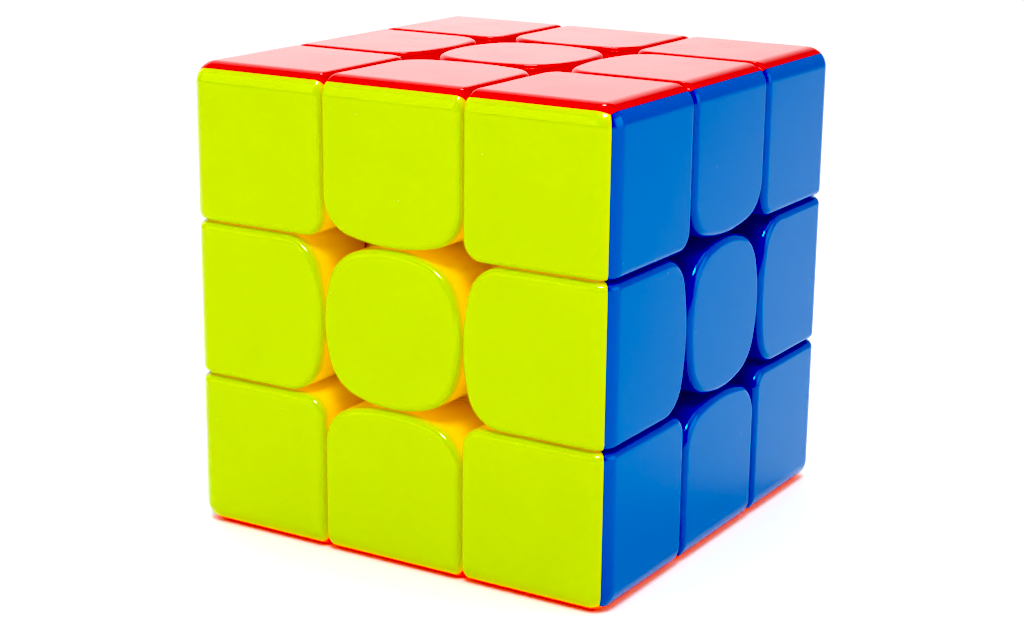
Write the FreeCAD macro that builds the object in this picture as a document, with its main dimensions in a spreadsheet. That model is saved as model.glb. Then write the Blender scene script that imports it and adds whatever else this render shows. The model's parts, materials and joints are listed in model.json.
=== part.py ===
import FreeCAD, Part
import math
import os
import Sketcher

# Stickerless 3 x 3 x 3 twisty puzzle cube, in millimetres, +Z up.
# The origin is the centre of the core. The front faces -Y, the right side +X and the top +Z.
#
# A spherical core carries six arms. A screw and a spring hold one centre piece on each arm.
# Twelve edge pieces and eight corner pieces reach inwards with curved feet, which hook under their
# neighbours, so nothing else holds them. Every boundary between two layers is a plane outside the
# foot sphere, a sphere at the feet and a nearer plane inside it, so each layer turns freely.

doc = FreeCAD.newDocument("twisty_puzzle_cube")

# ---------------------------------------------------------------------------------------------
# Driving dimensions
# ---------------------------------------------------------------------------------------------

SIZES = [
    ("cube_side", 56.0, "outside length of the cube"),
    ("layer_gap", 0.2, "gap between two layers, and between two pieces of one layer"),
    ("outer_round", 2.5, "rounding of the twelve outside edges of the cube"),
    ("seam_round", 0.9, "rounding of each coloured tile beside a seam"),
    ("corner_inner_round", 2.4, "rounding of a corner piece's upright edge nearest the face centre"),
    ("edge_end_bow", 24.0, "radius of the bowed inner end of an edge piece"),
    ("edge_end_round", 4.5, "radius where that bowed end meets the straight sides"),
    ("centre_side_bow", 16.0, "radius of the bowed sides of a centre tile"),
    ("centre_corner_round", 5.5, "radius of the corners of a centre tile"),
    ("wall", 1.5, "wall of the hollow coloured pieces"),
    ("foot_plane", 6.0, "distance from the origin to the layer boundary inside the foot sphere"),
    ("foot_outside", 21.3, "radius of the outer surface of the feet"),
    ("foot_inside", 16.8, "radius of the inner surface of the feet"),
    ("foot_gap", 0.4, "gap between the feet and the pieces that hold them down"),
    ("core_ball", 7.0, "radius of the ball of the core"),
    ("arm_radius", 3.9, "radius of the six arms of the core"),
    ("arm_end", 11.0, "distance from the origin to the end of an arm"),
    ("pilot_radius", 1.3, "radius of the pilot hole in an arm"),
    ("pilot_end", 4.4, "distance from the origin to the bottom of a pilot hole"),
    ("bearing_gap", 0.1, "radial gap between an arm and the centre piece that turns on it"),
    ("web_inside", 11.2, "start of the web that the spring presses on"),
    ("web_thickness", 2.0, "thickness of that web"),
    ("web_hole", 1.7, "radius of the screw's hole through the web"),
    ("chamber_radius", 4.3, "radius of the spring chamber in a centre piece"),
    ("cap_start", 24.0, "distance from the origin to the joint of a centre cap"),
    ("plug_depth", 1.6, "depth of the cap's plug in the spring chamber"),
    ("plug_wall", 1.0, "wall of that plug"),
    ("plug_gap", 0.05, "radial gap of that plug"),
    ("washer_radius", 3.8, "radius of the washers at both ends of a spring"),
    ("washer_thickness", 0.5, "thickness of those washers"),
    ("head_seat", 20.4, "distance from the origin to the underside of a screw head"),
    ("head_radius", 2.8, "radius of a screw head"),
    ("head_height", 1.8, "height of a screw head"),
    ("head_round", 0.6, "rounding of a screw head"),
    ("drive_length", 3.2, "length of the two slots of the cross drive"),
    ("drive_width", 0.8, "width of those slots"),
    ("drive_depth", 1.1, "depth of those slots"),
    ("shank_radius", 1.25, "radius of a screw's shank"),
    ("shank_end", 5.0, "distance from the origin to the tip of a screw"),
    ("wire_radius", 0.35, "radius of the spring wire"),
    ("spring_radius", 2.6, "radius of a spring, to the middle of its wire"),
    ("spring_turns", 5.0, "turns of a spring"),
]

sheet = doc.addObject("Spreadsheet::Sheet", "Sizes")
for row, (alias, value, meaning) in enumerate(SIZES, start=1):
    sheet.set("A%d" % row, meaning)
    sheet.set("B%d" % row, str(value))
    sheet.setAlias("B%d" % row, alias)
doc.recompute()


def size(alias):
    """The value of one driving dimension."""
    return float(sheet.get(alias))


# Planes that several pieces share, as expressions on the sheet.
HALF = "Sizes.cube_side / 2"
NEAR = "(Sizes.cube_side / 6 + Sizes.layer_gap / 2)"
SIDE = "(Sizes.cube_side / 6 - Sizes.layer_gap / 2)"
FOOT_NEAR = "(Sizes.foot_plane + Sizes.layer_gap / 2)"
FOOT_SIDE = "(Sizes.foot_plane - Sizes.layer_gap / 2)"
HOLD_DOWN = "(Sizes.foot_outside + Sizes.foot_gap)"
FLOOR = "(Sizes.foot_outside + Sizes.foot_gap + Sizes.wall)"
WEB_OUTSIDE = "(Sizes.web_inside + Sizes.web_thickness)"
SPRING_FOOT = "(Sizes.web_inside + Sizes.web_thickness + Sizes.washer_thickness)"
SPRING_HEAD = "(Sizes.head_seat - Sizes.washer_thickness)"
REACH = "Sizes.cube_side"

# The same planes as numbers, for picking edges and for laying out sketches.
half = size("cube_side") / 2
near = size("cube_side") / 6 + size("layer_gap") / 2
side = size("cube_side") / 6 - size("layer_gap") / 2
flat_end = half - size("outer_round")
TOLERANCE = 1e-3

# ---------------------------------------------------------------------------------------------
# Small helpers
# ---------------------------------------------------------------------------------------------


def bind(thing, expressions):
    """Bind properties of one object to expressions on the sheet."""
    for name, expression in expressions.items():
        thing.setExpression(name, expression)
    return thing


def box_sizes(low, high):
    """The placement and lengths of a box between two corners, each given as three expressions."""
    lengths = ["%s - (%s)" % (end, start) for start, end in zip(low, high)]
    return {
        "Placement.Base.x": low[0], "Placement.Base.y": low[1], "Placement.Base.z": low[2],
        "Length": lengths[0], "Width": lengths[1], "Height": lengths[2],
    }


def box(name, low, high):
    return bind(doc.addObject("Part::Box", name), box_sizes(low, high))


def ball(name, radius):
    return bind(doc.addObject("Part::Sphere", name), {"Radius": radius})


def cylinder(name, radius, low, high):
    """A cylinder along Z from low to high."""
    return bind(doc.addObject("Part::Cylinder", name), {
        "Radius": radius, "Placement.Base.z": low, "Height": "%s - (%s)" % (high, low),
    })


def fuse(name, pieces):
    joined = doc.addObject("Part::MultiFuse", name)
    joined.Shapes = pieces
    return joined


def common(name, pieces):
    shared = doc.addObject("Part::MultiCommon", name)
    shared.Shapes = pieces
    return shared


def cut(name, base, tool):
    rest = doc.addObject("Part::Cut", name)
    rest.Base = base
    rest.Tool = tool
    return rest


def group(name, pieces):
    bundle = doc.addObject("Part::Compound", name)
    bundle.Links = pieces
    return bundle


def between_spheres(name, solid, inside, outside):
    """The part of a solid between two spheres about the origin."""
    within = common(name + "_within", [solid, ball(name + "_outer_ball", outside)])
    return cut(name, within, ball(name + "_inner_ball", inside))


def above_slant(name, across_y):
    """Everything above the slanted plane z = y, or above z = x, where two coloured parts meet."""
    wide, deep = "4 * " + REACH, "2 * " + REACH
    downhill, beside = "-2 * " + REACH + " * cos(45)", "-" + REACH
    block = bind(doc.addObject("Part::Box", name), {
        "Length": deep if across_y else wide, "Width": wide if across_y else deep, "Height": deep,
        "Placement.Base.x": beside if across_y else downhill,
        "Placement.Base.y": downhill if across_y else beside,
        "Placement.Base.z": downhill,
    })
    axis = FreeCAD.Vector(1, 0, 0) if across_y else FreeCAD.Vector(0, -1, 0)
    block.Placement.Rotation = FreeCAD.Rotation(axis, 45)
    return block


def plane_of(body, role):
    """One origin plane of a body."""
    return next(item for item in body.Origin.OriginFeatures if item.Role == role)


def edges_where(shape, test):
    """Names of the edges whose middle point passes a test."""
    names = []
    for number, edge in enumerate(shape.Edges, start=1):
        middle = edge.valueAt((edge.FirstParameter + edge.LastParameter) / 2)
        if test(middle):
            names.append("Edge%d" % number)
    return names


def rounded(body, name, radius, test):
    """Add a fillet to the edges of a body that pass a test."""
    doc.recompute()
    base = body.Tip
    fillet = body.newObject("PartDesign::Fillet", name)
    fillet.Base = (base, edges_where(base.Shape, test))
    fillet.setExpression("Radius", "Sizes." + radius)
    doc.recompute()
    return fillet


def same(first, second):
    return abs(first - second) < TOLERANCE


# ---------------------------------------------------------------------------------------------
# Outlines
# ---------------------------------------------------------------------------------------------

START, END, CENTRE = 1, 2, 3
ORIGIN, X_AXIS, Y_AXIS = -1, -1, -2


def arc(middle_x, middle_y, radius, first, last):
    """An arc from its centre, its radius and its two angles in degrees, counter-clockwise."""
    circle = Part.Circle(FreeCAD.Vector(middle_x, middle_y, 0), FreeCAD.Vector(0, 0, 1), radius)
    return Part.ArcOfCircle(circle, math.radians(first), math.radians(last))


def new_sketch(body, name, role):
    sketch = body.newObject("Sketcher::SketchObject", name)
    sketch.AttachmentSupport = (plane_of(body, role), [""])
    sketch.MapMode = "FlatFace"
    return sketch


def driving(sketch, constraint, expression):
    """Add a constraint whose value is bound to the sheet."""
    number = sketch.addConstraint(constraint)
    sketch.setExpression("Constraints[%d]" % number, expression)


def join_tangent(sketch, count):
    """Join each curve of a closed outline to the next one, smoothly."""
    for number in range(count):
        sketch.addConstraint(Sketcher.Constraint("Tangent", number, END, (number + 1) % count, START))


def centre_outline(body, name, inset):
    """A rounded square with bowed sides, moved inwards by an inset.

    The side arcs have their centres on the axes. The corner arcs have theirs on the diagonals,
    at the distance that makes them tangent to the side arcs.
    """
    inwards = size("wall") if inset else 0.0
    bow = size("centre_side_bow") - inwards
    corner = size("centre_corner_round") - inwards
    bow_centre = side - size("centre_side_bow")
    reach = bow - corner
    corner_centre = (bow_centre + math.sqrt(2 * reach ** 2 - bow_centre ** 2)) / 2
    turn = math.degrees(math.atan2(corner_centre, corner_centre - bow_centre))

    sketch = new_sketch(body, name, "XY_Plane")
    for quarter in range(4):
        heading = math.radians(90 * quarter)
        x, y = math.cos(heading), math.sin(heading)
        middle = 90 * quarter
        sketch.addGeometry(arc(bow_centre * x, bow_centre * y, bow, middle - turn, middle + turn))
        sketch.addGeometry(arc(corner_centre * (x - y), corner_centre * (x + y), corner,
                               middle + turn, middle + 90 - turn))
    join_tangent(sketch, 8)
    offset = " - Sizes.wall" if inset else ""
    for number in range(0, 8, 2):
        axis = X_AXIS if number % 4 == 0 else Y_AXIS
        sketch.addConstraint(Sketcher.Constraint("PointOnObject", number, CENTRE, axis))
        driving(sketch, Sketcher.Constraint("Radius", number, bow), "Sizes.centre_side_bow" + offset)
        driving(sketch, Sketcher.Constraint("Distance", number, CENTRE, ORIGIN, START, -bow_centre),
                "Sizes.centre_side_bow - " + SIDE)
    for number in range(1, 8, 2):
        driving(sketch, Sketcher.Constraint("Radius", number, corner), "Sizes.centre_corner_round" + offset)
    return sketch


def edge_outline(body, name, role, inset):
    """The U shape of an edge tile: straight sides, and a bowed end towards the face's centre."""
    inwards = size("wall") if inset else 0.0
    width = side - inwards
    end = near + inwards
    top = half - inwards
    bow = size("edge_end_bow") - inwards
    corner = size("edge_end_round") - inwards
    bow_centre = end + bow
    across = width - corner
    corner_centre = bow_centre - math.sqrt((bow - corner) ** 2 - across ** 2)
    turn = math.degrees(math.atan2(across, bow_centre - corner_centre))

    sketch = new_sketch(body, name, role)
    point = FreeCAD.Vector
    sketch.addGeometry(arc(0, bow_centre, bow, 270 - turn, 270 + turn))
    sketch.addGeometry(arc(across, corner_centre, corner, 270 + turn, 360))
    sketch.addGeometry(Part.LineSegment(point(width, corner_centre, 0), point(width, top, 0)))
    sketch.addGeometry(Part.LineSegment(point(width, top, 0), point(-width, top, 0)))
    sketch.addGeometry(Part.LineSegment(point(-width, top, 0), point(-width, corner_centre, 0)))
    sketch.addGeometry(arc(-across, corner_centre, corner, 180, 270 - turn))
    for first, second in ((0, 1), (1, 2), (4, 5), (5, 0)):
        sketch.addConstraint(Sketcher.Constraint("Tangent", first, END, second, START))
    for first, second in ((2, 3), (3, 4)):
        sketch.addConstraint(Sketcher.Constraint("Coincident", first, END, second, START))
    for number in (2, 4):
        sketch.addConstraint(Sketcher.Constraint("Vertical", number))
    sketch.addConstraint(Sketcher.Constraint("PointOnObject", 0, CENTRE, Y_AXIS))
    sketch.addConstraint(Sketcher.Constraint("Symmetric", 2, END, 3, END, Y_AXIS))
    offset = " - Sizes.wall" if inset else ""
    driving(sketch, Sketcher.Constraint("Radius", 0, bow), "Sizes.edge_end_bow" + offset)
    for number in (1, 5):
        driving(sketch, Sketcher.Constraint("Radius", number, corner), "Sizes.edge_end_round" + offset)
    driving(sketch, Sketcher.Constraint("DistanceX", ORIGIN, START, 2, END, width), SIDE + offset)
    driving(sketch, Sketcher.Constraint("DistanceY", ORIGIN, START, 2, END, top), HALF + offset)
    driving(sketch, Sketcher.Constraint("DistanceY", ORIGIN, START, 0, CENTRE, bow_centre),
            NEAR + " + Sizes.edge_end_bow")
    return sketch


def through_pad(name, outline, *details):
    """A body whose outline is padded right through the cube, both ways from its plane."""
    body = doc.addObject("PartDesign::Body", name)
    sketch = outline(body, name + "_outline", *details)
    pad = body.newObject("PartDesign::Pad", name + "_pad")
    pad.Profile = sketch
    pad.Midplane = True
    pad.setExpression("Length", "2 * Sizes.cube_side")
    return body


# ---------------------------------------------------------------------------------------------
# Corner piece, in the corner +X +Y +Z
# ---------------------------------------------------------------------------------------------


def corner_block():
    """A cube with three roundings: outside edges, edges nearest the face centres, and seams."""
    body = doc.addObject("PartDesign::Body", "corner_block")
    start = body.newObject("PartDesign::AdditiveBox", "corner_start")
    bind(start, box_sizes([NEAR] * 3, [HALF] * 3))
    rounded(body, "corner_inner_rounds", "corner_inner_round",
            lambda p: sorted([same(p.x, near), same(p.y, near), same(p.z, near)]) == [False, True, True])
    rounded(body, "corner_outer_rounds", "outer_round",
            lambda p: sorted([same(p.x, half), same(p.y, half), same(p.z, half)]) == [False, True, True])

    def beside_a_seam(p):
        low, middle, high = sorted([p.x, p.y, p.z])
        on_a_tile = same(high, half) and middle < flat_end - TOLERANCE
        over_the_edge = same(low, near) and middle > flat_end + TOLERANCE
        return on_a_tile or over_the_edge

    rounded(body, "corner_seam_rounds", "seam_round", beside_a_seam)
    return body


def corner_shell():
    """The block hollowed out, with a spherical floor over the foot."""
    inside = [NEAR + " + Sizes.wall"] * 3
    outside = [HALF + " - Sizes.wall"] * 3
    hollow = cut("corner_hollow", box("corner_hollow_box", inside, outside),
                 ball("corner_floor_ball", FLOOR))
    solid = cut("corner_above_foot", corner_block(), ball("corner_foot_ball", HOLD_DOWN))
    return cut("corner_shell", solid, hollow)


def corner_foot():
    """A neck down to the foot sphere, and a foot that reaches under three edge pieces."""
    neck = between_spheres("corner_neck", box("corner_neck_box", [NEAR] * 3, [REACH] * 3),
                           "Sizes.foot_inside", HOLD_DOWN)
    foot = between_spheres("corner_foot_slab", box("corner_foot_box", [FOOT_NEAR] * 3, [REACH] * 3),
                           "Sizes.foot_inside", "Sizes.foot_outside")
    return fuse("corner_foot", [neck, foot])


# ---------------------------------------------------------------------------------------------
# Edge piece, at +Y +Z
# ---------------------------------------------------------------------------------------------


def edge_block():
    """Two U-shaped tiles at right angles, with the outside edge and the seams rounded."""
    start = common("edge_start", [
        through_pad("edge_front_form", edge_outline, "XZ_Plane", False),
        through_pad("edge_top_form", edge_outline, "XY_Plane", False),
    ])
    body = doc.addObject("PartDesign::Body", "edge_block")
    body.BaseFeature = start
    rounded(body, "edge_outer_round", "outer_round", lambda p: same(p.y, half) and same(p.z, half))

    def beside_a_seam(p):
        on_a_tile = same(max(p.y, p.z), half) and min(p.y, p.z) < flat_end - TOLERANCE
        over_the_edge = same(abs(p.x), side) and min(p.y, p.z) > flat_end + TOLERANCE
        return on_a_tile or over_the_edge

    rounded(body, "edge_seam_rounds", "seam_round", beside_a_seam)
    return body


def edge_shell():
    """The block hollowed out, with a spherical floor over the foot."""
    inside = common("edge_hollow_block", [
        through_pad("edge_front_hollow", edge_outline, "XZ_Plane", True),
        through_pad("edge_top_hollow", edge_outline, "XY_Plane", True),
    ])
    hollow = cut("edge_hollow", inside, ball("edge_floor_ball", FLOOR))
    solid = cut("edge_above_foot", edge_block(), ball("edge_foot_ball", HOLD_DOWN))
    return cut("edge_shell", solid, hollow)


def edge_foot():
    """A neck down to the foot sphere, and a foot that reaches under two centre pieces."""
    neck_box = box("edge_neck_box", ["-" + FOOT_SIDE, NEAR, NEAR], [FOOT_SIDE, REACH, REACH])
    foot_box = box("edge_foot_box", ["-" + FOOT_SIDE, FOOT_NEAR, FOOT_NEAR], [FOOT_SIDE, REACH, REACH])
    neck = between_spheres("edge_neck", neck_box, "Sizes.foot_inside", HOLD_DOWN)
    foot = between_spheres("edge_foot_slab", foot_box, "Sizes.foot_inside", "Sizes.foot_outside")
    return fuse("edge_foot", [neck, foot])


# ---------------------------------------------------------------------------------------------
# Centre piece, at +Z
# ---------------------------------------------------------------------------------------------


def slab(name, form, low, high):
    """The part of a padded outline between two heights."""
    reach = "2 * " + REACH
    return common(name, [form, box(name + "_box", ["-" + REACH, "-" + REACH, low], [reach, reach, high])])


def centre_base():
    """The turning hub: a square column on the core's arm, and the lower part of the tile."""
    outline = through_pad("centre_form", centre_outline, False)
    inset = through_pad("centre_hollow_form", centre_outline, True)
    tile = cut("centre_above_feet", slab("centre_lower_tile", outline, NEAR, "Sizes.cap_start"),
               ball("centre_foot_ball", HOLD_DOWN))
    column = box("centre_column", ["-" + FOOT_SIDE, "-" + FOOT_SIDE, FOOT_NEAR],
                 [FOOT_SIDE, FOOT_SIDE, "Sizes.cap_start"])
    solid = fuse("centre_solid", [tile, column])

    ring = cut("centre_ring_hollow",
               cut("centre_ring_upper", slab("centre_ring_slab", inset, NEAR, "Sizes.cap_start"),
                   ball("centre_floor_ball", FLOOR)),
               cylinder("centre_chamber_wall", "Sizes.chamber_radius + Sizes.wall", "0", REACH))
    bores = fuse("centre_bores", [
        cylinder("centre_bearing", "Sizes.arm_radius + Sizes.bearing_gap", "0", "Sizes.web_inside"),
        cylinder("centre_web_hole", "Sizes.web_hole", "0", REACH),
        cylinder("centre_chamber", "Sizes.chamber_radius", WEB_OUTSIDE, REACH),
    ])
    return cut("centre_base", cut("centre_hollowed", solid, ring), bores), outline, inset


def centre_cap(outline, inset):
    """The tile that snaps over the screw: a rounded cap with a hollow back and a round plug."""
    body = doc.addObject("PartDesign::Body", "centre_cap_block")
    body.BaseFeature = slab("centre_cap_start", outline, "Sizes.cap_start", HALF)
    rounded(body, "centre_seam_rounds", "seam_round", lambda p: same(p.z, half))
    hollow = slab("centre_cap_hollow", inset, "Sizes.cap_start", HALF + " - Sizes.wall")
    plug = cut("centre_plug",
               cylinder("centre_plug_outside", "Sizes.chamber_radius - Sizes.plug_gap",
                        "Sizes.cap_start - Sizes.plug_depth", HALF + " - Sizes.wall"),
               cylinder("centre_plug_inside", "Sizes.chamber_radius - Sizes.plug_gap - Sizes.plug_wall",
                        "0", HALF + " - Sizes.wall"))
    return fuse("centre_cap", [cut("centre_cap_shell", body, hollow), plug])


# ---------------------------------------------------------------------------------------------
# Core, and the screw, washers and spring on one arm
# ---------------------------------------------------------------------------------------------

UPRIGHT = FreeCAD.Rotation()


def placed(name, piece, rotation):
    """A copy of a piece, turned about the origin."""
    copy = group(name, [piece])
    copy.Placement = FreeCAD.Placement(FreeCAD.Vector(), rotation)
    return copy


def screw():
    """A pan-head screw with a cross drive. Its thread is drawn as a plain shank."""
    head = doc.addObject("PartDesign::Body", "screw_head")
    bind(head.newObject("PartDesign::AdditiveCylinder", "screw_head_blank"), {
        "Radius": "Sizes.head_radius", "Height": "Sizes.head_height", "Placement.Base.z": "Sizes.head_seat",
    })
    head_top = size("head_seat") + size("head_height")
    rounded(head, "screw_head_round", "head_round", lambda p: same(p.z, head_top))
    low = "Sizes.head_seat + Sizes.head_height - Sizes.drive_depth"
    length, width = "Sizes.drive_length / 2", "Sizes.drive_width / 2"
    drive = fuse("screw_drive", [
        box("screw_slot_along", ["-" + length, "-" + width, low], [length, width, REACH]),
        box("screw_slot_across", ["-" + width, "-" + length, low], [width, length, REACH]),
    ])
    shank = cylinder("screw_shank", "Sizes.shank_radius", "Sizes.shank_end", "Sizes.head_seat")
    return fuse("screw", [cut("screw_driven_head", head, drive), shank])


def washer(name, low):
    top = low + " + Sizes.washer_thickness"
    return cut(name, cylinder(name + "_disc", "Sizes.washer_radius", low, top),
               cylinder(name + "_hole", "Sizes.web_hole", "0", REACH))


def spring():
    """A helical wire between the two washers."""
    length = "(%s - %s - 2 * Sizes.wire_radius)" % (SPRING_HEAD, SPRING_FOOT)
    helix = bind(doc.addObject("Part::Helix", "spring_helix"), {
        "Radius": "Sizes.spring_radius", "Height": length, "Pitch": length + " / Sizes.spring_turns",
        "Placement.Base.z": SPRING_FOOT + " + Sizes.wire_radius",
    })
    wire = bind(doc.addObject("Part::Circle", "spring_wire"), {
        "Radius": "Sizes.wire_radius", "Placement.Base.x": "Sizes.spring_radius",
        "Placement.Base.z": SPRING_FOOT + " + Sizes.wire_radius",
    })
    wire.Placement.Rotation = FreeCAD.Rotation(FreeCAD.Vector(1, 0, 0), 90)
    coil = doc.addObject("Part::Sweep", "spring")
    coil.Sections = [wire]
    coil.Spine = (helix, ["Edge1"])
    coil.Solid = True
    coil.Frenet = True
    return coil


def core(directions):
    """A ball with six arms, and a pilot hole in the end of each arm."""
    arm = cylinder("core_arm", "Sizes.arm_radius", "0", "Sizes.arm_end")
    pilot = cylinder("core_pilot", "Sizes.pilot_radius", "Sizes.pilot_end", "Sizes.arm_end + 1")
    arms = [placed("core_arm_" + face, arm, turn) for face, turn in directions.items()]
    pilots = [placed("core_pilot_" + face, pilot, turn) for face, turn in directions.items()]
    return cut("core_part", fuse("core_solid", [ball("core_ball_part", "Sizes.core_ball")] + arms),
               group("core_pilots", pilots))


# ---------------------------------------------------------------------------------------------
# The whole cube
# ---------------------------------------------------------------------------------------------

FACES = {
    "top": (FreeCAD.Vector(0, 0, 1), "red"),
    "bottom": (FreeCAD.Vector(0, 0, -1), "orange"),
    "front": (FreeCAD.Vector(0, -1, 0), "yellow"),
    "back": (FreeCAD.Vector(0, 1, 0), "white"),
    "right": (FreeCAD.Vector(1, 0, 0), "blue"),
    "left": (FreeCAD.Vector(-1, 0, 0), "green"),
}
EDGES = [(first, second) for first in ("top", "bottom") for second in ("front", "back", "right", "left")]
EDGES += [(first, second) for first in ("front", "back") for second in ("right", "left")]
CORNERS = [(first, second, third) for first in ("top", "bottom")
           for second in ("front", "back") for third in ("right", "left")]
# The foot is moulded with the coloured part that comes first in this list.
FOOT_ORDER = ["yellow", "white", "red", "orange", "blue", "green"]


def normal(face):
    return FACES[face][0]


def colour(face):
    return FACES[face][1]


def turned(right_way, up_way):
    """The rotation that takes +Y to one direction and +Z to another."""
    return FreeCAD.Rotation(right_way.cross(up_way), right_way, up_way, "ZYX")


def any_side(face):
    """A neighbouring direction, for pieces that look the same from all four sides."""
    upright = abs(normal(face).z) > 0.5
    return FreeCAD.Vector(0, 1, 0) if upright else FreeCAD.Vector(0, 0, 1)


def first_moulded(faces):
    """The face whose coloured part carries the foot."""
    return min(faces, key=lambda face: FOOT_ORDER.index(colour(face)))


facing = {face: turned(any_side(face), normal(face)) for face in FACES}
nodes = []

core_part = core(facing)
nodes.append(placed("core_spider", core_part, UPRIGHT))
hardware = {
    "tension_screws": screw(),
    "tension_springs": spring(),
    "head_washers": washer("head_washer", SPRING_HEAD),
    "seat_washers": washer("seat_washer", WEB_OUTSIDE),
}
for node, piece in hardware.items():
    copies = [placed(node + "_" + face, piece, turn) for face, turn in facing.items()]
    nodes.append(group(node, copies))

base_part, tile_outline, tile_inset = centre_base()
cap_part = centre_cap(tile_outline, tile_inset)
centre = group("centre_piece", [base_part, cap_part])
for face in FACES:
    nodes.append(placed("centre_%s_%s" % (face, colour(face)), centre, facing[face]))

edge_plain = common("edge_half", [edge_shell(), above_slant("edge_split", True)])
edge_footed = fuse("edge_half_with_foot", [edge_plain, edge_foot()])
for pair in EDGES:
    for tile, other in (pair, pair[::-1]):
        half_piece = edge_footed if tile == first_moulded(pair) else edge_plain
        name = "edge_%s_%s_%s" % (pair + (colour(tile),))
        nodes.append(placed(name, half_piece, turned(normal(other), normal(tile))))

corner_plain = common("corner_third", [
    corner_shell(), above_slant("corner_split_y", True), above_slant("corner_split_x", False),
])
corner_footed = fuse("corner_third_with_foot", [corner_plain, corner_foot()])
for trio in CORNERS:
    for tile in trio:
        one, two = [face for face in trio if face != tile]
        right_handed = normal(one).cross(normal(two)).dot(normal(tile)) > 0
        along_y = two if right_handed else one
        third_piece = corner_footed if tile == first_moulded(trio) else corner_plain
        name = "corner_%s_%s_%s_%s" % (trio + (colour(tile),))
        nodes.append(placed(name, third_piece, turned(normal(along_y), normal(tile))))

doc.recompute()

# ---------------------------------------------------------------------------------------------
# Check everything, then write one file for each node
# ---------------------------------------------------------------------------------------------

SOLIDS = {"tension_screws": 6, "tension_springs": 6, "head_washers": 6, "seat_washers": 6}

for item in doc.Objects:
    if "Invalid" in item.State or "Error" in item.State:
        raise RuntimeError("%s failed to build" % item.Label)
for node in nodes:
    expected = 2 if node.Label.startswith("centre_") else SOLIDS.get(node.Label, 1)
    if node.Shape.isNull() or not node.Shape.isValid():
        raise RuntimeError("%s has no valid shape" % node.Label)
    if len(node.Shape.Solids) != expected:
        raise RuntimeError("%s has %d solids" % (node.Label, len(node.Shape.Solids)))

os.makedirs("parts", exist_ok=True)
for node in nodes:
    node.Shape.exportStep("parts/%s.step" % node.Label)
print("%d nodes written" % len(nodes))
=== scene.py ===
import json
import math

import bmesh
import bpy
from mathutils import Matrix, Vector


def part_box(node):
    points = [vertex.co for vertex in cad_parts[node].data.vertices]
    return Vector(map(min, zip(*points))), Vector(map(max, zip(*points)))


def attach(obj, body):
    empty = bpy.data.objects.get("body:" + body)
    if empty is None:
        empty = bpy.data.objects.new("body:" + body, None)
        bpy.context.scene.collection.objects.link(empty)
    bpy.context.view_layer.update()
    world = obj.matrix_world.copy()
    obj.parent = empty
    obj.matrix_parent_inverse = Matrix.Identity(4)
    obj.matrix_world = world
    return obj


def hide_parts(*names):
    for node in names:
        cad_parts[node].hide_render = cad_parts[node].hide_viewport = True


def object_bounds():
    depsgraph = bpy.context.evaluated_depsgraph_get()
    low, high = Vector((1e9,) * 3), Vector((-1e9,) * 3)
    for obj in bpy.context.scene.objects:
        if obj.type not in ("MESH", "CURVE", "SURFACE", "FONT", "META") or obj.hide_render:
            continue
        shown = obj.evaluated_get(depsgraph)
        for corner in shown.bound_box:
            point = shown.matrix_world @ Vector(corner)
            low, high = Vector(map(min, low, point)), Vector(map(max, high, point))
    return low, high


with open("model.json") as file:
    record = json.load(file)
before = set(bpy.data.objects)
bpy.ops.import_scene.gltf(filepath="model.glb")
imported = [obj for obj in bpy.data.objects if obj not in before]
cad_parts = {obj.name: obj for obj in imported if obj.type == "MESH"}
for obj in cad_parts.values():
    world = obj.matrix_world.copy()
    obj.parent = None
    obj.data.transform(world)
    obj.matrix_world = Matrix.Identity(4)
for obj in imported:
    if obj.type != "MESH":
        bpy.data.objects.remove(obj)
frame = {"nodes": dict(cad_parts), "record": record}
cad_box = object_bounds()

# Stickerless 3 x 3 x 3 twisty puzzle cube, in metres, +Z up, with its origin at the centre of the core.
# Six centre pieces, twelve edge pieces and eight corner pieces are hollow mouldings in glossy coloured
# plastic. Their feet hook round a core, which holds the centre pieces on sprung screws.

MM = 0.001

# ---------------------------------------------------------------------------------------------
# Driving dimensions
# ---------------------------------------------------------------------------------------------

# Planes that the frame gives: the outside of the cube, and both sides of the gap between layers.
HALF = cad_box[1].x
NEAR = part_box("corner_top_front_right_red")[0].x
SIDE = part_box("centre_top_red")[1].x

# Roundings and outlines of the coloured tiles.
OUTER_ROUND = 2.5 * MM
SEAM_ROUND = 0.9 * MM
CORNER_INNER_ROUND = 2.4 * MM
EDGE_END_BOW = 24.0 * MM
EDGE_END_ROUND = 4.5 * MM
CENTRE_SIDE_BOW = 16.0 * MM
CENTRE_CORNER_ROUND = 5.5 * MM

# The hollow mouldings and their feet.
WALL = 1.5 * MM
FOOT_NEAR = 6.1 * MM
FOOT_SIDE = 5.9 * MM
FOOT_INSIDE = 16.8 * MM
FOOT_OUTSIDE = 21.3 * MM
HOLD_DOWN = 21.7 * MM
SHELL_FLOOR = HOLD_DOWN + WALL
NECK_OVERLAP = 0.05 * MM

# The turning hub of a centre piece and the cap that is pressed in over its screw.
BEARING_RADIUS = 4.0 * MM
WEB_INSIDE = 11.2 * MM
WEB_OUTSIDE = 13.2 * MM
WEB_HOLE = 1.7 * MM
CHAMBER_RADIUS = 4.3 * MM
CAP_START = 24.0 * MM
PLUG_DEPTH = 1.6 * MM
PLUG_RADIUS = 4.25 * MM
PLUG_WALL = 1.0 * MM

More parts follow.
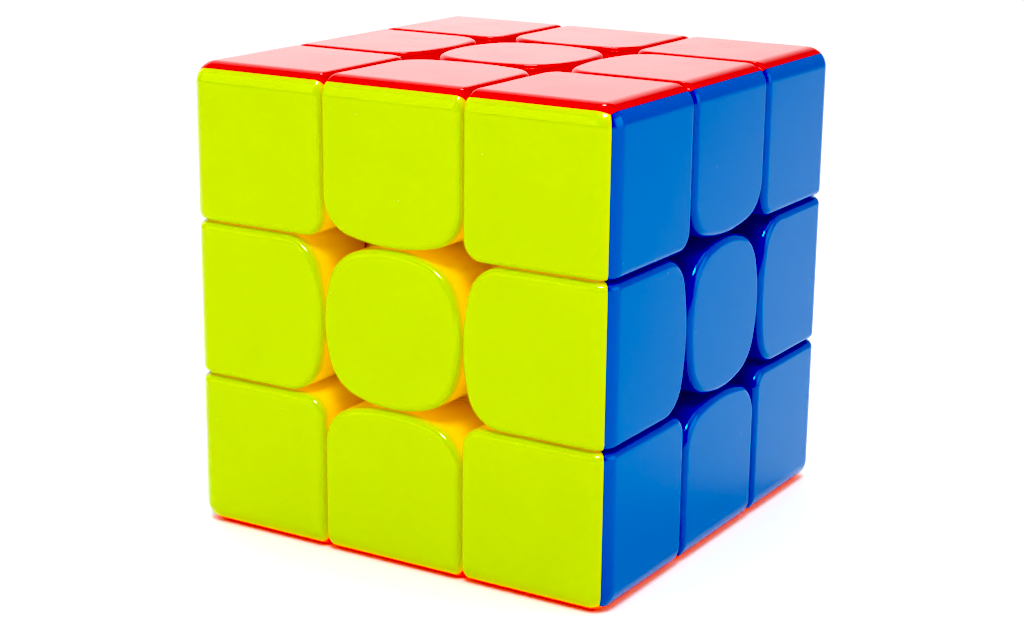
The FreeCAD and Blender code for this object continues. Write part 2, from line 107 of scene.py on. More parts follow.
# The screws, springs and washers on the six arms.
HEAD_SEAT = 20.4 * MM
HEAD_RADIUS = 2.8 * MM
HEAD_HEIGHT = 1.8 * MM
HEAD_ROUND = 0.6 * MM
DRIVE_LENGTH = 3.2 * MM
DRIVE_WIDTH = 0.8 * MM
DRIVE_DEPTH = 1.1 * MM
SHANK_RADIUS = 1.25 * MM
SCREW_TIP = 5.0 * MM
SCREW_LEAD = 0.3 * MM
THREAD_RADIUS = 1.14 * MM
THREAD_RIDGE = 0.22 * MM
THREAD_START = 5.6 * MM
THREAD_LENGTH = 5.0 * MM
THREAD_TURNS = 10.0
WASHER_RADIUS = 3.8 * MM
WASHER_THICKNESS = 0.5 * MM
WASHER_ROUND = 0.08 * MM
WIRE_RADIUS = 0.35 * MM
SPRING_RADIUS = 2.6 * MM
SPRING_TURNS = 5.0
SPRING_START = WEB_OUTSIDE + WASHER_THICKNESS + WIRE_RADIUS
SPRING_LENGTH = HEAD_SEAT - WASHER_THICKNESS - WIRE_RADIUS - SPRING_START
# The pitch of the closed end turns, as a share of the even pitch.
END_CLOSENESS = 0.65

# How finely round shapes are divided.
OUTER_STEPS = 11
SEAM_STEPS = 7
INNER_STEPS = 11
BOW_STEPS = 14
TURN_STEPS = 10
BALL_STEPS = 24
ROUND_SIDES = 72
SCREW_SIDES = 48
HEAD_STEPS = 6
COIL_SIDES = 32
WIRE_SIDES = 12
RIDGE_SIDES = 4
RIM_STEPS = 3
CRISP_ANGLE = math.radians(34)

QUARTER_TURN = math.pi / 2
# Points closer than this are in the same place, and points closer than half of it are welded.
SAME_PLACE = 0.001 * MM
WELD = SAME_PLACE / 2
# How squarely a face looks outwards, from 0 to 1, to count as the outside.
OUTWARDS = 0.3
# Further than any part of the cube.
REACH = 4 * HALF

FACES = {
    "top": (Vector((0, 0, 1)), "red"),
    "bottom": (Vector((0, 0, -1)), "orange"),
    "front": (Vector((0, -1, 0)), "yellow"),
    "back": (Vector((0, 1, 0)), "white"),
    "right": (Vector((1, 0, 0)), "blue"),
    "left": (Vector((-1, 0, 0)), "green"),
}

# Each plastic: the tile's colour; a painted colour down in a gap, lighter or darker than the tile, that
# stands for light and shade there; the tint of its reflections when seen square on; how much light spreads
# inside it; how far red, green and blue light get; how strong its reflections are; and the strength of a
# painted glow that stands for light from the tile coming out of its side walls.
TINTS = {
    "yellow": {"tile": "#ACCA00", "gap": "#F0D000", "glint": "#FFFFFF",
               "glow": 0.3, "depth": (1.0, 0.45, 0.05), "shine": 0.5, "through": 0.22},
    "blue": {"tile": "#0050A6", "gap": "#0030A8", "glint": "#00F0FF",
             "glow": 0.2, "depth": (0.05, 0.3, 1.0), "shine": 0.75, "through": 0.2},
    "red": {"tile": "#B40C0C", "gap": "#E81010", "glint": "#FF8080",
            "glow": 0.4, "depth": (1.0, 0.1, 0.1), "shine": 0.5, "through": 0.25},
    "orange": {"tile": "#F06408", "gap": "#F85004", "glint": "#FFB060",
               "glow": 0.5, "depth": (1.0, 0.3, 0.05), "shine": 0.5, "through": 0.7},
    "green": {"tile": "#009A32", "gap": "#007A28", "glint": "#60FF90",
              "glow": 0.3, "depth": (0.1, 1.0, 0.2), "shine": 0.6, "through": 0.04},
    "white": {"tile": "#C6C7C6", "gap": "#CFCBC2", "glint": "#FFFFFF",
              "glow": 0.5, "depth": (1.0, 0.9, 0.8), "shine": 0.5, "through": 0.08},
}
ABS_IOR = 1.54
GLOSS_RANGE = (0.08, 0.15)
# How far light with a depth of 1 spreads inside the plastic.
GLOW_SCALE = 3.0 * MM
# The painted glow on the tile, as a share of its strength in a gap, and the depths below the tile where the
# painted gap colour starts, where it is full, and where the painted glow ends.
TILE_PAINTED_GLOW = 0.4
RIM_DEPTH = 0.25 * MM
GAP_DEPTH = 1.7 * MM
PAINTED_GLOW_DEPTH = 13.0 * MM
# Grain sizes of the patterns. Dust is drawn a little coarser than real dust, so that it shows.
MOTTLE_GRAIN = 9 * MM
SMUDGE_GRAIN = 6 * MM
WAVE_GRAIN = 3 * MM
WAVE_HEIGHT = 0.004 * MM
FIBRE_GRAIN = 0.4 * MM
DUST_SPACING = 2.6 * MM
DUST_RADIUS = 0.06 * MM
# The middle of a noise pattern's range, where most of its values are.
NOISE_SPAN = (0.3, 0.7)
SMUDGE_SPAN = (0.35, 0.65)
# How much brightness varies over each surface.
ABS_TONE = (0.985, 1.015)
STEEL_TONE = (0.9, 1.1)
NYLON_TONE = (0.94, 1.06)
PAPER_TONE = (0.985, 1.0)
# How much brighter a speck of dust is than the plastic, and its share of the plastic's colour.
DUST_LIFT = 0.6
DUST_COLOUR = 0.35

# The hardware's finishes: colour, roughness, and the grain of the surface. Zinc plate is bright and
# a little blue, drawn wire is darker with a fine grain, and stamped washers are the dullest.
STEELS = {
    "zinc_plated_steel": ("#C9CCD0", 0.28, 0.12 * MM),
    "drawn_spring_wire": ("#9B9C9E", 0.32, 0.08 * MM),
    "stamped_washer_steel": ("#B4B5B8", 0.38, 0.10 * MM),
}
STEEL_GRIT_HEIGHT = 0.01 * MM
NYLON_COLOUR = "#DEDDD3"
NYLON_GLOSS = (0.45, 0.62)
NYLON_IOR = 1.53
FIBRE_HEIGHT = 0.02 * MM

# The studio: sizes in metres, and levels of light, where 1 is white.
FLOOR_REACH = 3.0
PAPER_COLOUR = "#F7F7F7"
PAPER_GRAIN = 30 * MM
PAPER_ROUGHNESS = 0.8
PAPER_SHINE = 0.1
BACKDROP_WAY = (0.1, 1.0, 0.15)
ROOM_LEVEL = 0.08
BACKDROP_LEVEL = 0.7
PANEL_WAY = (-0.775, 0.533, 0.339)
PANEL_EXTRA = 0.95
# Where each fades in, as the dot product with its direction.
BACKDROP_EDGE = (-0.25, 0.35)
PANEL_EDGE = (0.68, 0.9)
PAPER_LEVEL = 1.2
OVERHEAD_LEVEL = 0.95
OVERHEAD_WIDTH = math.radians(70)
BLACK_LEVEL = 0.1
WHITE_LEVEL = 0.92
# Softboxes: azimuth and elevation in degrees, distance, width and height in metres, and watts.
SOFTBOXES = {
    "key_softbox": (27.5, 56, 0.7, 0.20, 0.18, 3.0),
    "front_fill": (-40, 22, 1.0, 1.0, 0.6, 3.0),
    "side_fill": (105, 18, 1.0, 0.8, 0.6, 2.5),
    "rim_softbox": (212, 62, 0.7, 0.12, 0.12, 0.7),
}

# The camera, from the cube's centre: degrees, metres, and its lens and sensor in millimetres.
CAMERA_AZIMUTH = 31.32
CAMERA_ELEVATION = 15.14
CAMERA_ROLL = 0.64
CAMERA_DISTANCE = 0.2524
CAMERA_ASIDE = -0.83 * MM
CAMERA_RISE = -3.89 * MM
CAMERA_LENS = 72.37
CAMERA_SENSOR = 36

# ---------------------------------------------------------------------------------------------
# Small helpers
# ---------------------------------------------------------------------------------------------


def add(tree, kind, inputs=(), **settings):
    """Add a node with its settings and links.

    Inputs go by name or in order. Each is a value, or the socket that feeds it.
    """
    item = tree.nodes.new(kind)
    for name, value in settings.items():
        setattr(item, name, value)
    for socket, value in inputs.items() if isinstance(inputs, dict) else enumerate(inputs):
        if isinstance(value, bpy.types.NodeSocket):
            tree.links.new(value, item.inputs[socket])
        else:
            item.inputs[socket].default_value = value
    return item


def new_object(name, data):
    thing = bpy.data.objects.new(name, data)
    bpy.context.scene.collection.objects.link(thing)
    return thing


def settle(thing):
    """Turn what an object's modifiers make into its plain mesh."""
    graph = bpy.context.evaluated_depsgraph_get()
    evaluated = thing.evaluated_get(graph)
    result = bpy.data.meshes.new_from_object(evaluated, preserve_all_data_layers=True, depsgraph=graph)
    result.name = thing.name
    thing.modifiers.clear()
    thing.data = result
    return thing


def solid(name, shape):
    """Make an object of a closed bmesh."""
    bmesh.ops.recalc_face_normals(shape, faces=shape.faces[:])
    mesh = bpy.data.meshes.new(name)
    shape.to_mesh(mesh)
    shape.free()
    return new_object(name, mesh)


def boolean(body, tool, operation):
    """Join a tool to a body, cut it away, or keep only what both share. The tool is used up."""
    step = body.modifiers.new(operation, "BOOLEAN")
    step.solver = "EXACT"
    step.operation = operation
    step.object = tool
    settle(body)
    bpy.data.objects.remove(tool)
    return body


def without(body, *tools):
    for tool in tools:
        boolean(body, tool, "DIFFERENCE")
    return body


def joined(body, *tools):
    for tool in tools:
        boolean(body, tool, "UNION")
    return body


def shared(body, *tools):
    for tool in tools:
        boolean(body, tool, "INTERSECT")
    return body


def block(name, low, high):
    """A box between two corners."""
    shape = bmesh.new()
    middle = (Vector(low) + Vector(high)) / 2
    lengths = Matrix.Diagonal((*(Vector(high) - Vector(low)), 1))
    bmesh.ops.create_cube(shape, size=1, matrix=Matrix.Translation(middle) @ lengths)
    return solid(name, shape)


def ball(name, radius):
    """A sphere about the origin, divided like a cube so that its faces are even."""
    shape = bmesh.new()
    bmesh.ops.create_cube(shape, size=2)
    bmesh.ops.subdivide_edges(shape, edges=shape.edges[:], cuts=BALL_STEPS - 1, use_grid_fill=True)
    for vertex in shape.verts:
        even = Vector(math.tan(part * math.pi / 4) for part in vertex.co)
        vertex.co = even.normalized() * radius
    return solid(name, shape)


def prism_shape(outline, low, high):
    """An outline in X and Y, raised from one height to another."""
    shape = bmesh.new()
    lower, upper = [[shape.verts.new((x, y, z)) for x, y in outline] for z in (low, high)]
    shape.faces.new(reversed(lower))
    shape.faces.new(upper)
    for number in range(len(outline)):
        shape.faces.new((lower[number - 1], lower[number], upper[number], upper[number - 1]))
    return shape


def prism(name, outline, low, high):
    return solid(name, prism_shape(outline, low, high))


def arc(middle_x, middle_y, radius, first, last, steps):
    """Points along an arc, between two angles in radians, without its last point."""
    angles = [first + (last - first) * step / steps for step in range(steps)]
    return [(middle_x + radius * math.cos(angle), middle_y + radius * math.sin(angle)) for angle in angles]


def tube(name, radius, low, high):
    """A round bar along Z."""
    return prism(name, arc(0, 0, radius, 0, math.tau, ROUND_SIDES), low, high)


def round_off(shape, chosen, radius, steps):
    """Round the edges of a bmesh that pass a test."""
    edges = [edge for edge in shape.edges if chosen(edge)]
    bmesh.ops.bevel(shape, geom=edges, offset=radius, offset_type="OFFSET", segments=steps,
                    profile=0.5, affect="EDGES", clamp_overlap=False, loop_slide=True)


def middle_of(edge):
    return (edge.verts[0].co + edge.verts[1].co) / 2


def same(first, second):
    return abs(first - second) < SAME_PLACE


def between_outside_and_wall(outside):
    """A test for edges where a face that looks outwards meets a wall that doesn't."""
    def chosen(edge):
        looks = [face.normal.dot(outside) > OUTWARDS for face in edge.link_faces]
        return looks[0] != looks[1]
    return chosen


def finished_surface(body):
    """Weld the seams, and keep flats flat and roundings smooth."""
    shape = bmesh.new()
    shape.from_mesh(body.data)
    bmesh.ops.remove_doubles(shape, verts=shape.verts[:], dist=WELD)
    bmesh.ops.dissolve_degenerate(shape, edges=shape.edges[:], dist=WELD)
    shape.to_mesh(body.data)
    shape.free()
    body.data.shade_smooth()
    body.data.set_sharp_from_angle(angle=CRISP_ANGLE)
    even = body.modifiers.new("even_normals", "WEIGHTED_NORMAL")
    even.keep_sharp = True
    return settle(body)


# ---------------------------------------------------------------------------------------------
# Outlines of the tiles
# ---------------------------------------------------------------------------------------------


def centre_outline(inset):
    """A rounded square with bowed sides, moved inwards by an inset."""
    bow = CENTRE_SIDE_BOW - inset
    corner = CENTRE_CORNER_ROUND - inset
    bow_centre = SIDE - CENTRE_SIDE_BOW
    corner_centre = (bow_centre + math.sqrt(2 * (bow - corner) ** 2 - bow_centre ** 2)) / 2
    turn = math.atan2(corner_centre, corner_centre - bow_centre)
    points = []
    for heading in (0, QUARTER_TURN, 2 * QUARTER_TURN, 3 * QUARTER_TURN):
        x, y = math.cos(heading), math.sin(heading)
        points += arc(bow_centre * x, bow_centre * y, bow, heading - turn, heading + turn, BOW_STEPS)
        points += arc(corner_centre * (x - y), corner_centre * (x + y), corner,
                      heading + turn, heading + QUARTER_TURN - turn, TURN_STEPS)
    return points


def edge_outline(inset):
    """The U shape of an edge tile: straight sides, and a bowed end towards the face's centre."""
    width, top = SIDE - inset, HALF - inset
    bow = EDGE_END_BOW - inset
    corner = EDGE_END_ROUND - inset
    bow_centre = NEAR + EDGE_END_BOW
    across = width - corner
    corner_centre = bow_centre - math.sqrt((bow - corner) ** 2 - across ** 2)
    turn = math.atan2(across, bow_centre - corner_centre)
    down = -QUARTER_TURN
    points = arc(0, bow_centre, bow, down - turn, down + turn, BOW_STEPS)
    points += arc(across, corner_centre, corner, down + turn, 0, TURN_STEPS)
    points += [(width, corner_centre), (width, top), (-width, top)]
    points += arc(-across, corner_centre, corner, -math.pi, down - turn, TURN_STEPS)
    return points


# ---------------------------------------------------------------------------------------------
# Mouldings, each made once: corner at +X +Y +Z, edge at +Y +Z, centre at +Z, with the tile on top
# ---------------------------------------------------------------------------------------------


def corner_thirds():
    """One coloured third of a corner piece, plain and with the foot."""
    def rounded_block():
        shape = bmesh.new()
        size = HALF - NEAR
        middle = Vector.Fill(3, (HALF + NEAR) / 2)
        bmesh.ops.create_cube(shape, size=size, matrix=Matrix.Translation(middle))
        round_off(shape, lambda edge: sum(same(part, NEAR) for part in middle_of(edge)) == 2,
                  CORNER_INNER_ROUND, INNER_STEPS)
        round_off(shape, lambda edge: sum(same(part, HALF) for part in middle_of(edge)) == 2,
                  OUTER_ROUND, OUTER_STEPS)
        round_off(shape, between_outside_and_wall(Vector((1, 1, 1)).normalized()), SEAM_ROUND, SEAM_STEPS)
        return solid("corner_block", shape)

    def hollow():
        inner, outer = NEAR + WALL, HALF - WALL
        return without(block("corner_hollow", [inner] * 3, [outer] * 3), ball("corner_floor", SHELL_FLOOR))

    def third_of_space(name):
        """Everything between the two mitre planes: x and y from nothing up to z."""
        shape = bmesh.new()
        tip = shape.verts.new((0, 0, 0))
        base = [shape.verts.new((x, y, REACH)) for x, y in ((0, 0), (REACH, 0), (REACH, REACH), (0, REACH))]
        shape.faces.new(base)
        for number in range(4):
            shape.faces.new((tip, base[number], base[number - 1]))
        return solid(name, shape)

    plain = shared(rounded_block(), third_of_space("corner_mitres"))
    without(plain, ball("corner_under", HOLD_DOWN), hollow())

    foot = shared(block("corner_foot", [FOOT_NEAR] * 3, [FOOT_OUTSIDE] * 3), ball("foot_top", FOOT_OUTSIDE))
    footed = joined(rounded_block(), foot)
    without(footed, ball("foot_under", FOOT_INSIDE), hollow())
    others = without(block("corner_others", [0] * 3, [REACH / 2] * 3), third_of_space("corner_own"),
                     ball("corner_neck", HOLD_DOWN))
    without(footed, others)
    return finished_surface(plain), finished_surface(footed)


def edge_halves():
    """One coloured half of an edge piece, plain and with the foot."""
    def rounded_block():
        shape = prism_shape(edge_outline(0), 0, HALF)
        bmesh.ops.recalc_face_normals(shape, faces=shape.faces[:])
        round_off(shape, lambda edge: same(middle_of(edge).y, HALF) and same(middle_of(edge).z, HALF),
                  OUTER_ROUND, OUTER_STEPS)
        outside = Vector((0, 1, 1)).normalized()
        seams = between_outside_and_wall(outside)
        round_off(shape, lambda edge: middle_of(edge).z > SEAM_ROUND and seams(edge),
                  SEAM_ROUND, SEAM_STEPS)
        return solid("edge_block", shape)

    def hollow():
        across = prism("edge_hollow", edge_outline(WALL), 0, HALF - WALL)
        return without(across, ball("edge_floor", SHELL_FLOOR))

    def half_of_space(name):
        """Everything above the mitre plane, z = y."""
        shape = prism_shape([(0, 0), (REACH, REACH), (0, REACH)], -REACH, REACH)
        shape.transform(Matrix(((0, 0, 1, 0), (1, 0, 0, 0), (0, 1, 0, 0), (0, 0, 0, 1))))
        return solid(name, shape)

    plain = shared(rounded_block(), half_of_space("edge_mitre"))
    without(plain, ball("edge_under", HOLD_DOWN), hollow())

    neck_top = HOLD_DOWN + NECK_OVERLAP
    neck = shared(block("edge_neck", (-FOOT_SIDE, NEAR, NEAR), (FOOT_SIDE, neck_top, neck_top)),
                  ball("neck_top", neck_top))
    foot = shared(block("edge_foot", (-FOOT_SIDE, FOOT_NEAR, FOOT_NEAR),
                        (FOOT_SIDE, FOOT_OUTSIDE, FOOT_OUTSIDE)),
                  ball("foot_top", FOOT_OUTSIDE))
    foot = without(joined(neck, foot), ball("foot_under", FOOT_INSIDE))
    footed = shared(rounded_block(), half_of_space("edge_own"))
    without(footed, ball("edge_over", HOLD_DOWN), hollow())
    return finished_surface(plain), finished_surface(joined(footed, foot))


def centre_hub_and_cap():
    """The hub that turns on the core's arm, and the cap that covers its screw, as one centre piece."""
    outline = centre_outline(0)
    inset = centre_outline(WALL)

    hub = without(prism("centre_hub", outline, NEAR, CAP_START), ball("centre_under", HOLD_DOWN))
    joined(hub, block("centre_column", (-FOOT_SIDE, -FOOT_SIDE, FOOT_NEAR),
                      (FOOT_SIDE, FOOT_SIDE, CAP_START)))
    ring = without(prism("centre_ring", inset, NEAR, REACH), ball("centre_floor", SHELL_FLOOR),
                   tube("centre_chamber_wall", CHAMBER_RADIUS + WALL, 0, 2 * REACH))
    without(hub, ring, tube("centre_bearing", BEARING_RADIUS, 0, WEB_INSIDE),
            tube("centre_web_hole", WEB_HOLE, 0, REACH),
            tube("centre_chamber", CHAMBER_RADIUS, WEB_OUTSIDE, REACH))

    shape = prism_shape(outline, CAP_START, HALF)
    bmesh.ops.recalc_face_normals(shape, faces=shape.faces[:])
    round_off(shape, between_outside_and_wall(Vector((0, 0, 1))), SEAM_ROUND, SEAM_STEPS)
    cap = without(solid("centre_cap", shape), prism("cap_hollow", inset, NEAR, HALF - WALL))
    plug = without(tube("centre_plug", PLUG_RADIUS, CAP_START - PLUG_DEPTH, HALF - WALL / 2),
                   tube("centre_plug_inside", PLUG_RADIUS - PLUG_WALL, 0, HALF - WALL))
    joined(cap, plug)
    return finished_surface(hub), finished_surface(cap)


def screw_blank():
    """A pan-head screw without its thread: shank, head and cross recess."""
    profile = [(0, SCREW_TIP), (SHANK_RADIUS - SCREW_LEAD, SCREW_TIP),
               (SHANK_RADIUS, SCREW_TIP + SCREW_LEAD), (SHANK_RADIUS, HEAD_SEAT),
               (HEAD_RADIUS, HEAD_SEAT)]
    top = HEAD_SEAT + HEAD_HEIGHT
    rim = arc(HEAD_RADIUS - HEAD_ROUND, top - HEAD_ROUND, HEAD_ROUND, 0, QUARTER_TURN, HEAD_STEPS)
    profile += rim + [(HEAD_RADIUS - HEAD_ROUND, top), (0, top)]
    shape = bmesh.new()
    points = [shape.verts.new((radius, 0, height)) for radius, height in profile]
    lines = [shape.edges.new(pair) for pair in zip(points, points[1:])]
    bmesh.ops.spin(shape, geom=points + lines, cent=(0, 0, 0), axis=(0, 0, 1), angle=math.tau,
                   steps=SCREW_SIDES, use_merge=True)
    bmesh.ops.remove_doubles(shape, verts=shape.verts[:], dist=SAME_PLACE)
    long, thin, deep = DRIVE_LENGTH / 2, DRIVE_WIDTH / 2, top - DRIVE_DEPTH
    recess = joined(block("slot_along", (-long, -thin, deep), (long, thin, top + MM)),
                    block("slot_across", (-thin, -long, deep), (thin, long, top + MM)))
    return finished_surface(without(solid("screw_blank", shape), recess))


# ---------------------------------------------------------------------------------------------
# Geometry Nodes: mouldings and hardware, repeated round the core
# ---------------------------------------------------------------------------------------------

FACING = {
    "top": (0, 0, 0), "bottom": (math.pi, 0, 0), "front": (QUARTER_TURN, 0, 0),
    "back": (-QUARTER_TURN, 0, 0), "right": (0, QUARTER_TURN, 0), "left": (0, -QUARTER_TURN, 0),
}


def new_tree(name, inputs):
    """A geometry tree with named inputs, each with its kind of socket and its starting value."""
    tree = bpy.data.node_groups.new(name, "GeometryNodeTree")
    tree.interface.new_socket("Geometry", in_out="OUTPUT", socket_type="NodeSocketGeometry")
    for label, (kind, value) in inputs.items():
        socket = tree.interface.new_socket(label, in_out="INPUT", socket_type="NodeSocket" + kind)
        if value is not None:
            socket.default_value = value
    return tree, add(tree, "NodeGroupInput").outputs


def finish_tree(tree, geometry, finish):
    """Make instances real, give them their finish, and put them out."""
    real = add(tree, "GeometryNodeRealizeInstances", {"Geometry": geometry})
    coated = add(tree, "GeometryNodeSetMaterial", {"Geometry": real.outputs[0], "Material": finish})
    add(tree, "NodeGroupOutput", {"Geometry": coated.outputs[0]})
    return tree


def on_every_arm(tree, geometry):
    """Six instances of a piece that stands on +Z, one for each arm of the core."""
    one = add(tree, "GeometryNodeGeometryToInstance", {"Geometry": geometry}).outputs[0]
    together = add(tree, "GeometryNodeJoinGeometry")
    for turn in FACING.values():
        arm = add(tree, "GeometryNodeTransform", {"Geometry": one, "Rotation": turn})
        tree.links.new(arm.outputs[0], together.inputs[0])
    return together.outputs[0]


def grown(name, tree, **values):
    """Run a geometry tree with these inputs, and keep the plain mesh that it makes."""
    piece = new_object(name, bpy.data.meshes.new(name))
    maker = piece.modifiers.new(tree.name, "NODES")
    maker.node_group = tree
    for socket in tree.interface.items_tree:
        if socket.in_out == "INPUT" and socket.name in values:
            maker[socket.identifier] = values[socket.name]
    return settle(piece)


def moulding_tree():
    """One or two mouldings, turned about the cube's centre and coloured."""
    tree, given = new_tree("placed_moulding", {
        "First": ("Object", None), "Second": ("Object", None), "Turn": ("Vector", (0, 0, 0)),
        "Finish": ("Material", None),
    })
    parts = add(tree, "GeometryNodeJoinGeometry")
    for label in ("Second", "First"):
        part = add(tree, "GeometryNodeObjectInfo", {"Object": given[label]})
        tree.links.new(part.outputs["Geometry"], parts.inputs[0])
    turned = add(tree, "GeometryNodeTransform", {"Geometry": parts.outputs[0], "Rotation": given["Turn"]})
    return finish_tree(tree, turned.outputs[0], given["Finish"])


def spring_tree():
    """A coil of round wire with closed ends, on every arm."""
    tree, given = new_tree("tension_spring", {
        "Coil radius": ("Float", SPRING_RADIUS), "Wire radius": ("Float", WIRE_RADIUS),
        "Turns": ("Float", SPRING_TURNS), "Start": ("Float", SPRING_START),
        "Length": ("Float", SPRING_LENGTH), "Finish": ("Material", None),
    })
    coil = add(tree, "GeometryNodeCurveSpiral", {
        "Resolution": COIL_SIDES, "Rotations": given["Turns"], "Start Radius": given["Coil radius"],
        "End Radius": given["Coil radius"], "Height": 0.0,
    })
    along = add(tree, "GeometryNodeSplineParameter").outputs["Factor"]
    eased = add(tree, "ShaderNodeMapRange", {"Value": along}, interpolation_type="SMOOTHSTEP").outputs[0]
    even = add(tree, "ShaderNodeMath", (along, END_CLOSENESS), operation="MULTIPLY").outputs[0]
    share = add(tree, "ShaderNodeMath", (eased, 1 - END_CLOSENESS, even), operation="MULTIPLY_ADD")
    height = add(tree, "ShaderNodeMath", (share.outputs[0], given["Length"], given["Start"]),
                 operation="MULTIPLY_ADD")
    lift = add(tree, "ShaderNodeCombineXYZ", {"Z": height.outputs[0]})
    raised = add(tree, "GeometryNodeSetPosition", {"Geometry": coil.outputs[0], "Offset": lift.outputs[0]})
    wire = add(tree, "GeometryNodeCurvePrimitiveCircle", {
        "Resolution": WIRE_SIDES, "Radius": given["Wire radius"],
    })
    drawn = add(tree, "GeometryNodeCurveToMesh", {
        "Curve": raised.outputs[0], "Profile Curve": wire.outputs[0], "Fill Caps": True,
    })
    return finish_tree(tree, on_every_arm(tree, drawn.outputs[0]), given["Finish"])


def screw_tree():
    """A screw blank and its rolled thread, on every arm."""
    tree, given = new_tree("tension_screw", {
        "Blank": ("Object", None), "Thread radius": ("Float", THREAD_RADIUS),
        "Ridge": ("Float", THREAD_RIDGE), "Turns": ("Float", THREAD_TURNS),
        "Start": ("Float", THREAD_START), "Length": ("Float", THREAD_LENGTH), "Finish": ("Material", None),
    })
    blank = add(tree, "GeometryNodeObjectInfo", {"Object": given["Blank"]})
    line = add(tree, "GeometryNodeCurveSpiral", {
        "Resolution": COIL_SIDES, "Rotations": given["Turns"], "Start Radius": given["Thread radius"],
        "End Radius": given["Thread radius"], "Height": given["Length"],
    })
    lift = add(tree, "ShaderNodeCombineXYZ", {"Z": given["Start"]})
    raised = add(tree, "GeometryNodeSetPosition", {"Geometry": line.outputs[0], "Offset": lift.outputs[0]})
    ridge = add(tree, "GeometryNodeCurvePrimitiveCircle", {
        "Resolution": RIDGE_SIDES, "Radius": given["Ridge"],
    })
    thread = add(tree, "GeometryNodeCurveToMesh", {
        "Curve": raised.outputs[0], "Profile Curve": ridge.outputs[0], "Fill Caps": True,
    })
    whole = add(tree, "GeometryNodeJoinGeometry")
    tree.links.new(thread.outputs[0], whole.inputs[0])
    tree.links.new(blank.outputs["Geometry"], whole.inputs[0])
    return finish_tree(tree, on_every_arm(tree, whole.outputs[0]), given["Finish"])


def washer_tree():
    """A flat ring with slightly rounded rims, on every arm."""
    tree, given = new_tree("spring_washer", {
        "Hole radius": ("Float", WEB_HOLE), "Outside radius": ("Float", WASHER_RADIUS),
        "Thickness": ("Float", WASHER_THICKNESS), "Rim round": ("Float", WASHER_ROUND),
        "Start": ("Float", WEB_OUTSIDE), "Finish": ("Material", None),
    })
    radii = (given["Outside radius"], given["Hole radius"])
    width = add(tree, "ShaderNodeMath", radii, operation="SUBTRACT")
    total = add(tree, "ShaderNodeMath", radii, operation="ADD")
    middle = add(tree, "ShaderNodeMath", (total.outputs[0], 2), operation="DIVIDE")
    path = add(tree, "GeometryNodeCurvePrimitiveCircle", {
        "Resolution": ROUND_SIDES, "Radius": middle.outputs[0],
    })
    section = add(tree, "GeometryNodeCurvePrimitiveQuadrilateral", {
        "Width": width.outputs[0], "Height": given["Thickness"],
    })
    eased = add(tree, "GeometryNodeFilletCurve", {
        "Curve": section.outputs[0], "Radius": given["Rim round"], "Count": RIM_STEPS,
    }, mode="POLY")
    ring = add(tree, "GeometryNodeCurveToMesh", {
        "Curve": path.outputs[0], "Profile Curve": eased.outputs[0],
    })
    half = add(tree, "ShaderNodeMath", (given["Thickness"], 0.5, given["Start"]), operation="MULTIPLY_ADD")
    lift = add(tree, "ShaderNodeCombineXYZ", {"Z": half.outputs[0]})
    raised = add(tree, "GeometryNodeSetPosition", {"Geometry": ring.outputs[0], "Offset": lift.outputs[0]})
    return finish_tree(tree, on_every_arm(tree, raised.outputs[0]), given["Finish"])


# ---------------------------------------------------------------------------------------------
# Materials
# ---------------------------------------------------------------------------------------------


def linear(code):
    """An sRGB hex colour as linear red, green, blue and an opaque alpha."""
    parts = [int(code[start:start + 2], 16) / 255 for start in (1, 3, 5)]
    return [part / 12.92 if part <= 0.04045 else ((part + 0.055) / 1.055) ** 2.4 for part in parts] + [1.0]


def new_material(name):
    """An empty material with its shader, and the object coordinates that its patterns read."""
    material = bpy.data.materials.new(name)
    material.use_nodes = True
    tree = material.node_tree
    tree.nodes.clear()
    shader = add(tree, "ShaderNodeBsdfPrincipled")
    add(tree, "ShaderNodeOutputMaterial", {"Surface": shader.outputs[0]})
    return material, tree, shader, add(tree, "ShaderNodeTexCoord").outputs["Object"]


